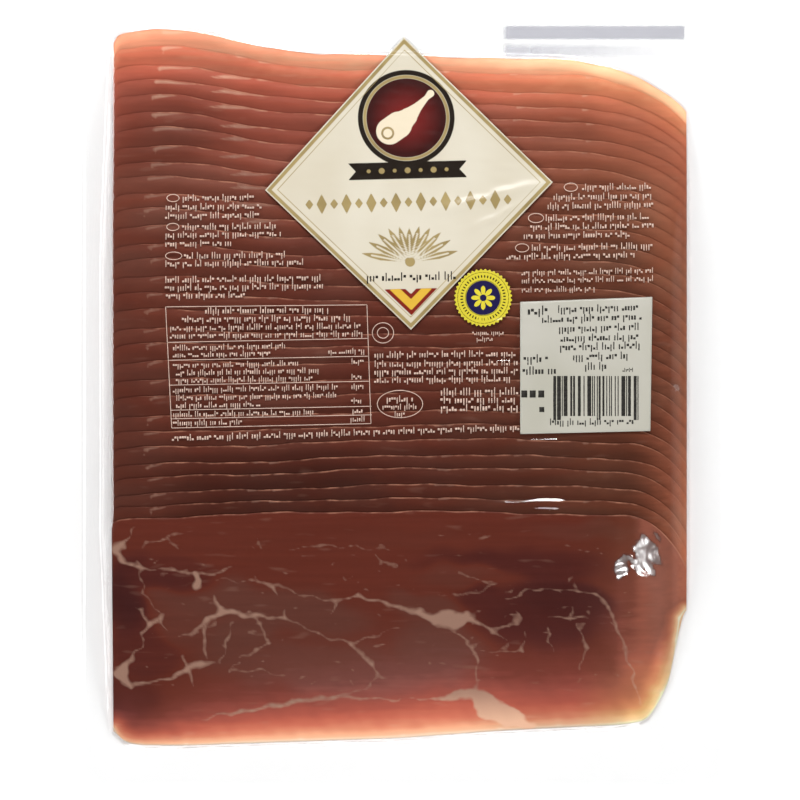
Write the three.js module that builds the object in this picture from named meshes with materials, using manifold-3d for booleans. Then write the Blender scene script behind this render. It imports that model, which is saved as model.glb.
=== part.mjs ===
// A sealed flat pack of shingled serrano ham slices, lying on its back with the printed side up.
// Millimetres, +Z up. The origin is at the middle of the pack's underside, +Y runs up the print
// and +X to its right. Each slice covers most of the next one, so the stack climbs from its upper
// edge, stays level, and thins out again under the front slice.
import * as THREE from 'three';
import { mergeVertices } from 'three/addons/utils/BufferGeometryUtils.js';
import Module from 'manifold-3d';

const wasm = await Module();
wasm.setup();

// Driving sizes
const pack = { width: 252, height: 306, cornerRadius: 9, filmThickness: 0.5 };
const slices = { count: 31, thickness: 0.85, left: -113.5, right: 110.8, edgeRun: 0.45 };
const frontTopEdge = -43.3; // upper edge of the front slice, at x = 0
const backTopEdge = 133.4; // upper edge of the hindmost slice, at x = 0
const frontLowerEdge = [ // the front slice's lower edge and its notched right side, left to right
  [-113.5, -124], [-110, -132], [-99, -135.9], [-40, -134.4], [0, -133], [38, -130.1],
  [61, -128.7], [84.6, -127.6], [94.8, -126.3], [98.3, -122], [101.8, -114], [104.5, -109.2],
  [106.3, -103], [107, -93.6], [108.2, -85.4], [110.8, -81.8],
];
const rightCorner = { // an ellipse's quarter that the slices' end cuts short
  frontWidth: 29, backWidth: 60, frontDrop: 43, middleDrop: 24, backDrop: 32, end: 116,
};
const leftCorner = { width: 4, drop: 3 };
const crowding = { depth: 4.9, peakSlice: 5, sharpness: 1.6 }; // slices near the front lie closer
const stackCrest = { layers: 2 }; // how softly the climb turns into the level stretch
const foot = { run: 1.6, slope: 0.32, depth: 0.2, lip: 0.1 }; // film's drape round the stack

const label = { gap: 0.4, thickness: 0.3 };
const diamond = { corners: [[-53.8, 81.9], [0.4, 142.3], [58.5, 85], [3.1, 27.3]], cells: 16 };
const badge = { x: 31.2, y: 39.8, radius: 11, toothDepth: 0.35, teeth: 40, rings: 3 };
const sticker = { corners: [[45.6, 38.2], [97.1, 40.2], [96.5, -12.1], [45.6, -13.3]], cells: 8 };

const lastSlice = slices.count - 1;

function clamp(value, low, high) {
  return Math.min(high, Math.max(low, value));
}

// Height lost along a quarter ellipse, from 0 where part is 0 to all of drop where part is 1
function quarterDrop(part, drop) {
  const along = clamp(part, 0, 1);
  return drop * (1 - Math.sqrt(1 - along * along));
}

// y on a line through points that run left to right
function alongPoints(points, x) {
  const next = clamp(points.findIndex(([px]) => px >= x), 1, points.length - 1);
  const [[x0, y0], [x1, y1]] = [points[next - 1], points[next]];
  return y0 + (y1 - y0) * clamp((x - x0) / (x1 - x0), 0, 1);
}

// Upper edge of slice k (0 in front, any fraction between two slices) at x: a nearly straight
// edge that leans and gains a hump on the left towards the back, with two rounded ends.
function sliceTop(k, x) {
  const back = k / lastSlice;
  const even = frontTopEdge + (backTopEdge - frontTopEdge) * back + 1.6 * back ** 12;
  const lean = -0.022 * (1 - (1 - back) ** 2) * x;
  const arch = -2.4 * (1 - back) * (x / 95) ** 2;
  const hump = 8.5 * back * Math.exp(-(((x + 93) / 24) ** 2) / 2);
  const near = (k / crowding.peakSlice) * Math.exp(1 - k / crowding.peakSlice);
  const leftness = 0.2 + 0.8 * (0.5 - 0.5 * Math.tanh((x + 30) / 40));
  const crowded = -crowding.depth * near ** crowding.sharpness * leftness;
  const width = THREE.MathUtils.lerp(rightCorner.frontWidth, rightCorner.backWidth, back ** 2.5);
  const drop = rightCorner.middleDrop + (rightCorner.frontDrop - rightCorner.middleDrop) * (1 - back) ** 6
    + (rightCorner.backDrop - rightCorner.middleDrop) * back ** 8;
  const rightFall = quarterDrop((x - rightCorner.end + width) / width, drop);
  const leftFall = quarterDrop((slices.left + leftCorner.width - x) / leftCorner.width, leftCorner.drop);
  return even + lean + arch + hump + crowded - rightFall - leftFall;
}

// Layers of ham at (x, y) where slice k lies on top: every slice from k back to the last one
// whose lower edge has come out from under the front slice by then.
function layers(k, x, y) {
  const pitch = (sliceTop(lastSlice, x) - sliceTop(0, x)) / lastSlice;
  const reached = (y - alongPoints(frontLowerEdge, x)) / pitch;
  const apart = reached - lastSlice;
  const lowest = (reached + lastSlice - Math.hypot(apart, stackCrest.layers)) / 2;
  return Math.max(1, lowest - k + 1);
}

function stackHeight(k, x, y) {
  return pack.filmThickness + slices.thickness * layers(k, x, y);
}

// Fractional slice whose upper edge passes through (x, y), found by halving the range
function sliceAt(x, y) {
  let [front, back] = [0, lastSlice];
  for (let step = 0; step < 20; step += 1) {
    const middle = (front + back) / 2;
    if (sliceTop(middle, x) < y) front = middle;
    else back = middle;
  }
  return (front + back) / 2;
}

// Smooth skin over the crests of the steps, on which the labels lie
function skinHeight(x, y) {
  return stackHeight(sliceAt(x, y), x, y);
}

// Closed solid between an upper and a lower grid of points with the same rows and columns.
// Rows run from high y to low y and columns from left to right.
function solidFromGrids(upper, lower) {
  const [rows, columns] = [upper.length, upper[0].length];
  const positions = [...upper.flat(), ...lower.flat()].flat();
  const at = (sheet, row, column) => sheet * rows * columns + row * columns + column;
  const index = [];
  const quad = (a, b, c, d) => index.push(a, b, c, a, c, d);
  for (let row = 0; row < rows - 1; row += 1) {
    for (let column = 0; column < columns - 1; column += 1) {
      quad(at(0, row, column), at(0, row + 1, column), at(0, row + 1, column + 1), at(0, row, column + 1));
      quad(at(1, row, column), at(1, row, column + 1), at(1, row + 1, column + 1), at(1, row + 1, column));
    }
  }
  const wall = (r0, c0, r1, c1) => quad(at(0, r0, c0), at(1, r0, c0), at(1, r1, c1), at(0, r1, c1));
  for (let row = 0; row < rows - 1; row += 1) {
    wall(row, 0, row + 1, 0);
    wall(row + 1, columns - 1, row, columns - 1);
  }
  for (let column = 0; column < columns - 1; column += 1) {
    wall(0, column + 1, 0, column);
    wall(rows - 1, column, rows - 1, column + 1);
  }
  const geometry = new THREE.BufferGeometry();
  geometry.setAttribute('position', new THREE.Float32BufferAttribute(positions, 3));
  geometry.setIndex(index);
  return geometry;
}

function toManifold(geometry) {
  const plain = geometry.clone();
  plain.deleteAttribute('normal');
  plain.deleteAttribute('uv');
  const merged = mergeVertices(plain, 1e-4);
  return new wasm.Manifold(new wasm.Mesh({
    numProp: 3,
    vertProperties: new Float32Array(merged.attributes.position.array),
    triVerts: new Uint32Array(merged.index.array),
  }));
}

function toGeometry(manifold) {
  const mesh = manifold.getMesh();
  const geometry = new THREE.BufferGeometry();
  geometry.setAttribute('position', new THREE.BufferAttribute(new Float32Array(mesh.vertProperties), 3));
  geometry.setIndex(new THREE.BufferAttribute(new Uint32Array(mesh.triVerts), 1));
  geometry.computeVertexNormals();
  return geometry;
}

// The two films sealed together, with rounded corners
function filmSheet() {
  const [w, h, r] = [pack.width / 2, pack.height / 2, pack.cornerRadius];
  const outline = new THREE.Shape();
  outline.moveTo(-w + r, -h);
  outline.lineTo(w - r, -h).absarc(w - r, -h + r, r, -Math.PI / 2, 0);
  outline.lineTo(w, h - r).absarc(w - r, h - r, r, 0, Math.PI / 2);
  outline.lineTo(-w + r, h).absarc(-w + r, h - r, r, Math.PI / 2, Math.PI);
  outline.lineTo(-w, -h + r).absarc(-w + r, -h + r, r, Math.PI, Math.PI * 1.5);
  return new THREE.ExtrudeGeometry(outline, {
    depth: pack.filmThickness, bevelEnabled: false, curveSegments: 6,
  });
}

// Columns across the stack: even, then closer together round the right-hand corner
function stackColumns() {
  const cornerStart = rightCorner.end - rightCorner.backWidth;
  const straight = Array.from({ length: 16 }, (_, i) => (
    THREE.MathUtils.lerp(slices.left + leftCorner.width, cornerStart, i / 16)
  ));
  const corner = Array.from({ length: 11 }, (_, i) => (
    THREE.MathUtils.lerp(cornerStart, slices.right, Math.sin((i / 10) * Math.PI / 2))
  ));
  return [slices.left, ...straight, ...corner];
}

// One column of the stepped relief, from above the hindmost slice to below the front one.
// Each slice gives two points: on the slice behind at its upper edge, and on its own face.
function reliefColumn(x) {
  const points = [];
  for (let k = lastSlice; k >= 0; k -= 1) {
    const edge = sliceTop(k, x);
    const behind = k === lastSlice ? foot.depth : stackHeight(k + 1, x, edge);
    points.push([x, edge, behind], [x, edge - slices.edgeRun, stackHeight(k, x, edge)]);
  }
  const faceRows = 9;
  const [top, bottom] = [sliceTop(0, x) - slices.edgeRun, alongPoints(frontLowerEdge, x)];
  for (let row = 1; row <= faceRows; row += 1) {
    const y = THREE.MathUtils.lerp(top, bottom, row / faceRows);
    points.push([x, y, stackHeight(0, x, y)]);
  }
  const run = foot.run + foot.slope * points[points.length - 1][2];
  points.push([x, bottom - run, foot.depth]);
  return points;
}

// A side column, where the film comes down from the stack's end to the margin. It follows the
// smooth skin, so the steps end in an even wall.
function sideColumn(column, side) {
  return column.map(([x, y]) => [x + side * (foot.run + foot.slope * skinHeight(x, y)), y, foot.depth]);
}

function slicedStack() {
  const inner = stackColumns().map(reliefColumn);
  const all = [sideColumn(inner[0], -1), ...inner, sideColumn(inner[inner.length - 1], 1)];
  const upper = all[0].map((_, row) => all.map((column) => column[row]));
  const lower = upper.map((row) => row.map(([x, y]) => [x, y, foot.lip]));
  return solidFromGrids(upper, lower);
}

function sealedPackGeometry() {
  return toGeometry(toManifold(filmSheet()).add(toManifold(slicedStack())));
}

// A thin plate that lies on the skin: its under and upper faces follow the same height
function plateFromGrid(rows) {
  const lift = (z) => rows.map((row) => row.map(([x, y]) => [x, y, skinHeight(x, y) + z]));
  return solidFromGrids(lift(label.gap + label.thickness), lift(label.gap));
}

// Points between four corners, given from the left one clockwise
function fourCornerGrid([left, top, right, bottom], cells) {
  const between = (a, b, t) => [THREE.MathUtils.lerp(a[0], b[0], t), THREE.MathUtils.lerp(a[1], b[1], t)];
  return Array.from({ length: cells + 1 }, (_, row) => {
    const [start, end] = [between(left, bottom, row / cells), between(top, right, row / cells)];
    return Array.from({ length: cells + 1 }, (__, column) => between(start, end, column / cells));
  });
}

// A toothed disc: a middle fan and rings out to the teeth, on the same skin
function badgeGeometry() {
  const around = badge.teeth * 2;
  const positions = [];
  const heights = [label.gap + label.thickness, label.gap];
  for (const lift of heights) {
    positions.push(badge.x, badge.y, skinHeight(badge.x, badge.y) + lift);
    for (let ring = 1; ring <= badge.rings; ring += 1) {
      for (let i = 0; i < around; i += 1) {
        const angle = (i / around) * Math.PI * 2;
        const tooth = ring === badge.rings ? badge.toothDepth * (i % 2) : 0;
        const radius = (badge.radius * ring) / badge.rings - tooth;
        const [x, y] = [badge.x + radius * Math.cos(angle), badge.y + radius * Math.sin(angle)];
        positions.push(x, y, skinHeight(x, y) + lift);
      }
    }
  }
  const face = 1 + badge.rings * around;
  const at = (side, ring, i) => side * face + (ring === 0 ? 0 : 1 + (ring - 1) * around + (i % around));
  const index = [];
  for (let i = 0; i < around; i += 1) {
    index.push(at(0, 0, 0), at(0, 1, i), at(0, 1, i + 1));
    index.push(at(1, 0, 0), at(1, 1, i + 1), at(1, 1, i));
    for (let ring = 1; ring < badge.rings; ring += 1) {
      const [a, b, c, d] = [at(0, ring, i), at(0, ring + 1, i), at(0, ring + 1, i + 1), at(0, ring, i + 1)];
      index.push(a, b, c, a, c, d);
      const [e, f, g, h] = [a, d, c, b].map((vertex) => vertex + face);
      index.push(e, f, g, e, g, h);
    }
    const rim = badge.rings;
    const [a, b, c, d] = [at(0, rim, i), at(1, rim, i), at(1, rim, i + 1), at(0, rim, i + 1)];
    index.push(a, b, c, a, c, d);
  }
  const geometry = new THREE.BufferGeometry();
  geometry.setAttribute('position', new THREE.Float32BufferAttribute(positions, 3));
  geometry.setIndex(index);
  return geometry;
}

function namedMesh(name, geometry, look) {
  const mesh = new THREE.Mesh(geometry, new THREE.MeshStandardMaterial(look));
  geometry.computeVertexNormals();
  mesh.name = name;
  return mesh;
}

const part = new THREE.Group();
part.add(
  namedMesh('sealed_pack', sealedPackGeometry(), { color: 0x7c3c30, roughness: 0.18, metalness: 0 }),
  namedMesh('diamond_label', plateFromGrid(fourCornerGrid(diamond.corners, diamond.cells)), {
    color: 0xdcd3c4, roughness: 0.3, metalness: 0,
  }),
  namedMesh('round_badge', badgeGeometry(), { color: 0xd9c23a, roughness: 0.3, metalness: 0 }),
  namedMesh('price_sticker', plateFromGrid(fourCornerGrid(sticker.corners, sticker.cells)), {
    color: 0xd2d3ca, roughness: 0.55, metalness: 0,
  }),
);

export default part;
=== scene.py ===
import bpy
import numpy as np
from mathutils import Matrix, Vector


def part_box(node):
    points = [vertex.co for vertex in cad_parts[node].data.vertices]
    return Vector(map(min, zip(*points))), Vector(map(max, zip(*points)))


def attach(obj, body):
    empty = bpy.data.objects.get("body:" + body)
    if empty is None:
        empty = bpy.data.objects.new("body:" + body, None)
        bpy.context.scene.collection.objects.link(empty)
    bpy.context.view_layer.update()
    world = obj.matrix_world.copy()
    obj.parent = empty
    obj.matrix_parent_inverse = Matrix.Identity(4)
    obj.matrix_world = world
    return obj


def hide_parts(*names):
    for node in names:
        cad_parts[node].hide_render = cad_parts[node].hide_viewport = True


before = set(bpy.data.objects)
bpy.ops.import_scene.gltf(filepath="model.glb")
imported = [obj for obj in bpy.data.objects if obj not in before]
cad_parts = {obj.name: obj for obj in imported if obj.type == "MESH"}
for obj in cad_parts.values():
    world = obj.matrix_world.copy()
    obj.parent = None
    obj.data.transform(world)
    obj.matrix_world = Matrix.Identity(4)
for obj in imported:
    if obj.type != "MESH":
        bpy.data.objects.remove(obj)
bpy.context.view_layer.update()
mm = 0.001
print("stage: frame loaded")

# One pixel of the 800 x 800 photo on the pack, and the pixel over the pack's middle
photo = {"mmPerPixel": 0.39, "middleX": 403, "middleY": 400, "side": 800}


def onPack(px, py):
    # Photo pixels to millimetres: distance from the middle pixel times the scale, with y turned up.
    return ((np.asarray(px, float) - photo["middleX"]) * photo["mmPerPixel"],
            (photo["middleY"] - np.asarray(py, float)) * photo["mmPerPixel"])


def fromPack(x, y):
    # The same relation the other way round: millimetres on the pack to photo pixels.
    return x / photo["mmPerPixel"] + photo["middleX"], photo["middleY"] - y / photo["mmPerPixel"]


_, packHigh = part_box("sealed_pack")
pack = {"halfX": packHigh.x / mm, "halfY": packHigh.y / mm, "corner": 9.0, "sheet": 0.08}

# Shingled stack of slices, in millimetres. Slice 0 is in front and the last one lies hindmost.
stack = {
    "count": 31, "thickness": 0.85, "left": -113.5, "right": 110.8, "sliceRight": 111.1,
    "frontTop": -43.3, "backTop": 133.4, "lastRise": 1.6, "filmThickness": 0.5, "crest": 2.0,
    "lean": 0.022, "arch": 2.4, "archHalf": 95, "hump": 8.5, "humpX": -93, "humpWidth": 24, "crowding": 4.9,
    "cornerEnd": 116.0, "cornerWidth": (29.0, 60.0), "cornerDrop": (43.0, 24.0, 32.0),
    "leftWidth": 4.0, "leftDrop": 3.0, "footRun": 1.6, "footSlope": 0.32,
}
frontLowerEdge = np.array([  # the front slice's lower edge and its notched right side
    (-113.5, -128.6), (-111.8, -132), (-108.5, -134.3), (-103, -135.3), (-85, -135.4), (-40, -133.8),
    (0, -132.4), (38, -129.6), (61, -128.4), (84.6, -127.3), (94.8, -125.8), (98.3, -122), (101.8, -115),
    (104.5, -110.5), (106.3, -104), (107.2, -94), (108.2, -85.4), (110.8, -81.8)])
lastSlice = stack["count"] - 1


def smoothStep(low, high, value):
    # Cubic ramp: 0 below low, 1 above high, with 3t^2 - 2t^3 between.
    t = np.clip((value - low) / (high - low), 0, 1)
    return t * t * (3 - 2 * t)


def windowed(value, ends):
    # 0 up to the first of four places, 1 between the middle two, and 0 again from the last.
    return smoothStep(ends[0], ends[1], value) * (1 - smoothStep(ends[2], ends[3], value))


def quarterDrop(part, drop):
    # Height lost along a quarter ellipse as part goes from 0 to 1: drop times (1 - sqrt(1 - part^2)).
    along = np.clip(part, 0, 1)
    return drop * (1 - np.sqrt(1 - along * along))


def lowerEdge(x):
    # Straight stretches between the points of the front slice's lower edge, averaged over 5 mm.
    shifts = np.linspace(-2.5, 2.5, 7)
    return sum(np.interp(x + shift, frontLowerEdge[:, 0], frontLowerEdge[:, 1]) for shift in shifts) / 7


def sliceTop(k, x):
    # Upper edge of slice k: evenly spaced lines, plus a lean, an arch in front, a hump on the left
    # at the back, closer spacing near the front, and two rounded ends.
    back = k / lastSlice
    even = stack["frontTop"] + (stack["backTop"] - stack["frontTop"]) * back + stack["lastRise"] * back ** 12
    lean = -stack["lean"] * (1 - (1 - back) ** 2) * x
    arch = -stack["arch"] * (1 - back) * (x / stack["archHalf"]) ** 2
    hump = stack["hump"] * back * np.exp(-(((x - stack["humpX"]) / stack["humpWidth"]) ** 2) / 2)
    near = (k / 5) * np.exp(1 - k / 5)
    leftness = 0.2 + 0.8 * (0.5 - 0.5 * np.tanh((x + 30) / 40))
    crowded = -stack["crowding"] * near ** 1.6 * leftness
    frontWidth, backWidth = stack["cornerWidth"]
    frontDrop, middleDrop, backDrop = stack["cornerDrop"]
    width = frontWidth + (backWidth - frontWidth) * back ** 2.5
    drop = middleDrop + (frontDrop - middleDrop) * (1 - back) ** 6 + (backDrop - middleDrop) * back ** 8
    rightFall = quarterDrop((x - stack["cornerEnd"] + width) / width, drop)
    leftFall = quarterDrop((stack["left"] + stack["leftWidth"] - x) / stack["leftWidth"], stack["leftDrop"])
    return even + lean + arch + hump + crowded - rightFall - leftFall


def slicePitch(x):
    # Mean distance between neighbouring upper edges at x.
    return (sliceTop(lastSlice, x) - sliceTop(0, x)) / lastSlice


def layersUnder(k, x, y):
    # Slices from k down to the table: those whose lower edges have come out below y, less the ones
    # in front of k, with a soft turn where the last slice is reached.
    reached = (y - lowerEdge(x)) / slicePitch(x)
    lowest = (reached + lastSlice - np.hypot(reached - lastSlice, stack["crest"])) / 2
    return np.maximum(1, lowest - k + 1)


def stackHeight(k, x, y):
    # Upper face of slice k: the lower film, and one thickness for each slice down to the table.
    return stack["filmThickness"] + stack["thickness"] * layersUnder(k, x, y)


def sliceAt(x, y):
    # Fractional slice whose upper edge passes through (x, y), by halving the range 20 times.
    front, back = np.zeros_like(x), np.full_like(x, lastSlice)
    for _ in range(20):
        middle = (front + back) / 2
        below = sliceTop(middle, x) < y
        front, back = np.where(below, middle, front), np.where(below, back, middle)
    return (front + back) / 2


def softNoise(x, y, size, seed):
    # Smooth noise of about -1 to 1: the sum of six seeded sine waves in different directions, over 3.2.
    rng = np.random.default_rng(seed)
    angle, phase = rng.uniform(0, np.pi, 6), rng.uniform(0, 2 * np.pi, 6)
    stretch = rng.uniform(0.7, 1.5, 6) * 2 * np.pi / size
    waves = [np.sin(s * (x * np.cos(a) + y * np.sin(a)) + p) for a, p, s in zip(angle, phase, stretch)]
    return sum(waves) / 3.2


# Film

film = {  # in mm, but for the pleats, which are counts round the pack
    "rowStep": 0.68, "backRowStep": 3.0, "lift": 0.02, "hug": 0.16, "ripple": 0.03, "seal": 8.0,
    "pucker": 0.22, "puckerFade": 4.0, "pleats": 95, "pleatDrift": 13,
}
filmFolds = [  # ridges: middle and half length in pixels, half width and height in mm, turn in degrees
    {"px": 530, "py": 505, "half": 60, "width": 2.2, "height": 1.2, "turn": -1},
    {"px": 566, "py": 440, "half": 80, "width": 1.3, "height": 0.72, "turn": 1},
    {"px": 505, "py": 363, "half": 20, "width": 1.2, "height": 0.68, "turn": -4},
    {"px": 508, "py": 347, "half": 14, "width": 1.1, "height": 0.6, "turn": 3},
    {"px": 507, "py": 320, "half": 16, "width": 1.3, "height": 0.7, "turn": 5},
    {"px": 672, "py": 388, "half": 7, "width": 1.0, "height": 0.6, "turn": -14},
    {"px": 492, "py": 197, "half": 62, "width": 2.6, "height": 0.7, "turn": 14},
    {"px": 505, "py": 212, "half": 46, "width": 1.8, "height": 0.45, "turn": 24},
    {"px": 580, "py": 268, "half": 60, "width": 1.2, "height": 0.22, "turn": -3},
    {"px": 410, "py": 300, "half": 70, "width": 1.4, "height": 0.2, "turn": 4},
]
filmBlisters = [  # bubbles: middle and half sizes in pixels, dome, crumple and its size in mm, and shine
    {"px": 646, "py": 555, "halfX": 17, "halfY": 23, "seed": 11,
     "dome": 1.6, "height": 0.8, "size": 6.5, "shine": 1.0},
    {"px": 621, "py": 567, "halfX": 8, "halfY": 14, "seed": 14,
     "dome": 1.0, "height": 0.5, "size": 4.5, "shine": 0.9},
]


def foldHeight(x, y):
    # Sum of ridges: height times a bell across, times a flat-topped bell along.
    total = np.zeros_like(x)
    for fold in filmFolds:
        cx, cy = onPack(fold["px"], fold["py"])
        turn = np.radians(fold["turn"])
        along = (x - cx) * np.cos(turn) + (y - cy) * np.sin(turn)
        across = (y - cy) * np.cos(turn) - (x - cx) * np.sin(turn)
        wander = 0.5 * np.sin(along / 5.3) + 0.25 * np.sin(along / 1.9)
        reach = fold["half"] * photo["mmPerPixel"]
        bell = np.exp(-((across - wander) / fold["width"]) ** 2)
        total += fold["height"] * bell * np.exp(-(along / reach) ** 4)
    return total


def spotReach(spot, x, y):
    # Squared distance from a bubble's middle, counted in its half sizes.
    cx, cy = onPack(spot["px"], spot["py"])
    rx, ry = spot["halfX"] * photo["mmPerPixel"], spot["halfY"] * photo["mmPerPixel"]
    return ((x - cx) / rx) ** 2 + ((y - cy) / ry) ** 2


def blisterHeight(x, y):
    # Bubbles: a bell-shaped spot times a dome and folded noise.
    total = np.zeros_like(x)
    for spot in filmBlisters:
        reach = spotReach(spot, x, y)
        crumple = 1 - 2 * np.abs(softNoise(x, y, spot["size"], spot["seed"]))
        total += np.exp(-(reach ** 2)) * (spot["height"] * crumple + spot["dome"] * (1 - 0.6 * reach))
    return total


def blisterShine(x, y):
    # How milky the film is: each bubble's shine inside its ragged outline, 0 outside.
    shine = np.zeros_like(x)
    for spot in filmBlisters:
        reach = spotReach(spot, x, y) + 0.45 * softNoise(x, y, 5, spot["seed"] + 1)
        shine = np.maximum(shine, spot["shine"] * (1 - smoothStep(0.4, 1.0, reach)))
    return shine


def filmHeight(x, y, hug=1.0):
    # Skin over the stack's crests, dipping between the slices' edges; outside the stack it falls
    # to the sealed margin along a smooth ramp, with puckers on the way.
    inX = np.clip(x, stack["left"], stack["right"])
    inY = np.clip(y, lowerEdge(inX), sliceTop(lastSlice, inX))
    fraction = sliceAt(inX, inY)
    skin = stackHeight(fraction, inX, inY)
    below = np.ceil(fraction) - fraction  # 0 under each slice's edge, 1 just above the next one
    dip = below ** 1.4 * (1 - smoothStep(0.74, 1.0, below)) * (fraction > 1e-3)
    gather = 0.75 + 0.25 * softNoise(x, y * 0.4, 30, 3)
    z = skin - film["hug"] * hug * dip * gather + film["ripple"] * softNoise(x * 0.5, y, 6, 5)
    away = np.hypot(x - inX, y - inY)
    run = stack["footRun"] + stack["footSlope"] * skin
    level = 2 * pack["sheet"] + 0.02
    fall = smoothStep(0, 1, away / run)
    edgeDistance = np.minimum(pack["halfX"] - np.abs(x), pack["halfY"] - np.abs(y))
    puckering = np.exp(-(away - run) / film["puckerFade"]) * (away > run) + (away <= run) * fall
    bearing = np.arctan2(y / pack["halfY"], x / pack["halfX"])
    waves = 0.5 + 0.5 * np.sin(bearing * film["pleats"] + 2.0 * np.sin(bearing * film["pleatDrift"]))
    unsealed = smoothStep(film["seal"], film["seal"] + 3, edgeDistance)
    flat = film["pucker"] * puckering * waves * unsealed
    z = z * (1 - fall) + level * fall + flat
    return z + (foldHeight(x, y) + blisterHeight(x, y)) * (1 - fall) + film["lift"]


# Mesh making

def roundedCorners(x, y):
    # Bends a rectangular grid's corners into arcs: inside each corner square, a point's distance
    # from the arc's centre is scaled from the square's to the circle's.
    r = pack["corner"]
    cx, cy = pack["halfX"] - r, pack["halfY"] - r
    dx, dy = np.abs(x) - cx, np.abs(y) - cy
    corner = (dx > 0) & (dy > 0)
    scale = np.where(corner, np.maximum(dx, dy) / np.maximum(np.hypot(dx, dy), 1e-9), 1)
    return (np.where(corner, np.sign(x) * (cx + dx * scale), x),
            np.where(corner, np.sign(y) * (cy + dy * scale), y))


def plate(x, y, top, bottom, wrap=False):
    # Closed plate between two height grids: the upper face, the lower face turned over, and walls
    # round the rim. With wrap, the last column joins the first. Returns points in mm and quads.
    rows, columns = x.shape
    count = rows * columns
    points = np.vstack([np.column_stack([x.ravel(), y.ravel(), top.ravel()]),
                        np.column_stack([x.ravel(), y.ravel(), bottom.ravel()])])
    index = np.arange(count).reshape(rows, columns)
    if wrap:
        index = np.hstack([index, index[:, :1]])
    a, b, c, d = index[:-1, :-1], index[1:, :-1], index[1:, 1:], index[:-1, 1:]
    upper = np.stack([a, b, c, d], -1).reshape(-1, 4)
    rims = [(index[0, 1:], index[0, :-1]), (index[-1, :-1], index[-1, 1:])]
    if not wrap:
        rims += [(index[:-1, 0], index[1:, 0]), (index[1:, -1], index[:-1, -1])]
    walls = [np.column_stack([p, p + count, q + count, q]) for p, q in rims]
    quads = np.vstack([upper, upper[:, ::-1] + count, *walls])
    px, py = points[upper, 0], points[upper, 1]
    area = np.sum((px[:, 2] - px[:, 0]) * (py[:, 3] - py[:, 1])
                  - (px[:, 3] - px[:, 1]) * (py[:, 2] - py[:, 0]))  # below 0 where the grid runs clockwise
    return points, quads if area > 0 else quads[:, ::-1]


def twice(values):
    # The same values for the upper and the lower face of a plate.
    return np.tile(values.ravel(), 2)


def makePiece(name, parts, material, attributes=None, smooth=True):
    # Joins plates into one mesh object in metres and gives it its material and body.
    offsets = np.cumsum([0] + [len(points) for points, _ in parts])
    points = np.vstack([points for points, _ in parts]) * mm
    quads = np.vstack([quads + offset for (_, quads), offset in zip(parts, offsets)])
    mesh = bpy.data.meshes.new(name)
    mesh.vertices.add(len(points))
    mesh.vertices.foreach_set("co", points.astype(np.float32).ravel())
    mesh.loops.add(quads.size)
    mesh.loops.foreach_set("vertex_index", quads.astype(np.int32).ravel())
    mesh.polygons.add(len(quads))
    mesh.polygons.foreach_set("loop_start", np.arange(0, quads.size, 4, dtype=np.int32))
    for key, values in (attributes or {}).items():
        layer = mesh.attributes.new(key, "FLOAT", "POINT")
        layer.data.foreach_set("value", np.asarray(values, np.float32).ravel())
    mesh.update(calc_edges=True)
    mesh.validate()
    if smooth:
        mesh.polygons.foreach_set("use_smooth", np.ones(len(mesh.polygons), bool))
    piece = bpy.data.objects.new(name, mesh)
    bpy.context.scene.collection.objects.link(piece)
    mesh.materials.append(material)
    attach(piece, "root")
    return piece


# Materials

def linear(red, green, blue):
    # sRGB from 0 to 255 to the linear light that a shader takes.
    part = np.array([red, green, blue]) / 255
    value = np.where(part <= 0.04045, part / 12.92, ((part + 0.055) / 1.055) ** 2.4)
    return (*[float(v) for v in value], 1.0)


def newMaterial(name):
    # An empty node tree with its output node.
    material = bpy.data.materials.new(name)
    material.use_nodes = True
    tree = material.node_tree
    tree.nodes.clear()
    output = tree.nodes.new("ShaderNodeOutputMaterial")
    return material, tree, output


def mathNode(tree, operation, first, second=None, third=None):
    # One sum, of which each input is a number or comes from a node.
    node = tree.nodes.new("ShaderNodeMath")
    node.operation = operation
    for socket, value in zip(node.inputs, (first, second, third)):
        if value is None:
            continue
        if isinstance(value, (int, float)):
            socket.default_value = value
        else:
            tree.links.new(value, socket)
    return node.outputs[0]


def product(tree, first, second):
    # first * second
    return mathNode(tree, "MULTIPLY", first, second)


def wavering(tree, noise, amount, around):
    # around + amount * (noise - 0.5)
    return mathNode(tree, "MULTIPLY_ADD", mathNode(tree, "SUBTRACT", noise, 0.5), amount, around)


def rangeNode(tree, value, low, high, start, end):
    # Value from low..high to start..end, held at both ends.
    node = tree.nodes.new("ShaderNodeMapRange")
    node.inputs["From Min"].default_value, node.inputs["From Max"].default_value = low, high
    node.inputs["To Min"].default_value, node.inputs["To Max"].default_value = start, end
    tree.links.new(value, node.inputs["Value"])
    return node.outputs[0]


def attributeNode(tree, name):
    # The value of one of the mesh's attributes.
    node = tree.nodes.new("ShaderNodeAttribute")
    node.attribute_name = name
    return node.outputs["Fac"]


def objectAxes(tree):
    # X and Y of the Object coordinates, in metres.
    place = tree.nodes.new("ShaderNodeTexCoord")
    split = tree.nodes.new("ShaderNodeSeparateXYZ")
    tree.links.new(place.outputs["Object"], split.inputs[0])
    return split.outputs["X"], split.outputs["Y"]


def objectNoise(tree, scale, detail=2.0, stretch=(1, 1, 1)):
    # Noise on Object coordinates; scale counts features in a metre.
    coordinates = tree.nodes.new("ShaderNodeTexCoord")
    mapping = tree.nodes.new("ShaderNodeMapping")
    mapping.inputs["Scale"].default_value = stretch
    noise = tree.nodes.new("ShaderNodeTexNoise")
    noise.inputs["Scale"].default_value = scale
    noise.inputs["Detail"].default_value = detail
    tree.links.new(coordinates.outputs["Object"], mapping.inputs["Vector"])
    tree.links.new(mapping.outputs["Vector"], noise.inputs["Vector"])
    return noise.outputs["Fac"]


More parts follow.
